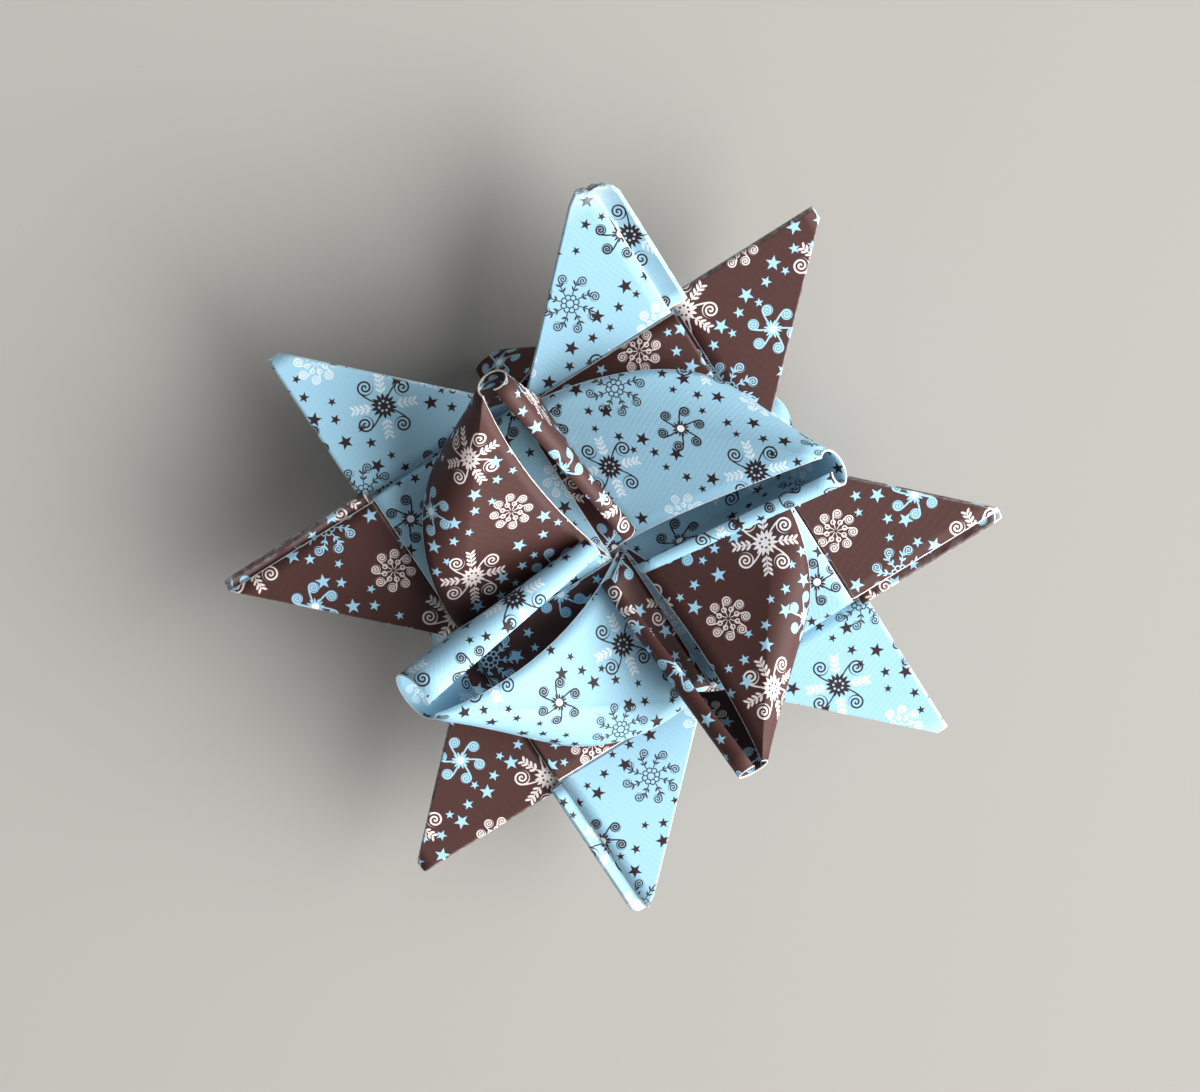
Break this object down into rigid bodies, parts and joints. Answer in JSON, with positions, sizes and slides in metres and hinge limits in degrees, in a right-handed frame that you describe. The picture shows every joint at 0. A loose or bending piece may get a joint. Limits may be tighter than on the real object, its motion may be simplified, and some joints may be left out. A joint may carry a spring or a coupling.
{
  "type": "froebel star",
  "caption": "Folded and woven paper star: flat triangular points around a woven square, with raised curled cones on the front and the back.",
  "frame": {"origin": "centre of the whole star's box, on the axis through the woven knot and just in front of the knot's middle, because the front cones are longer than the back ones", "axes": "+Z out of the front, along the axis about which the woven strips repeat every quarter turn; +X and +Y along the strips, which are also the directions of the front cones"},
  "size_m": [0.0622, 0.0622, 0.0234],
  "materials": {
    "blue_paper": "matt uncoated printed craft paper",
    "brown_paper": "matt uncoated printed craft paper"
  },
  "bodies": {
    "root": {"blue_strip_right": "blue_paper", "brown_strip_upper": "brown_paper", "blue_strip_left": "blue_paper", "brown_strip_lower": "brown_paper"}
  },
  "joints": []
}
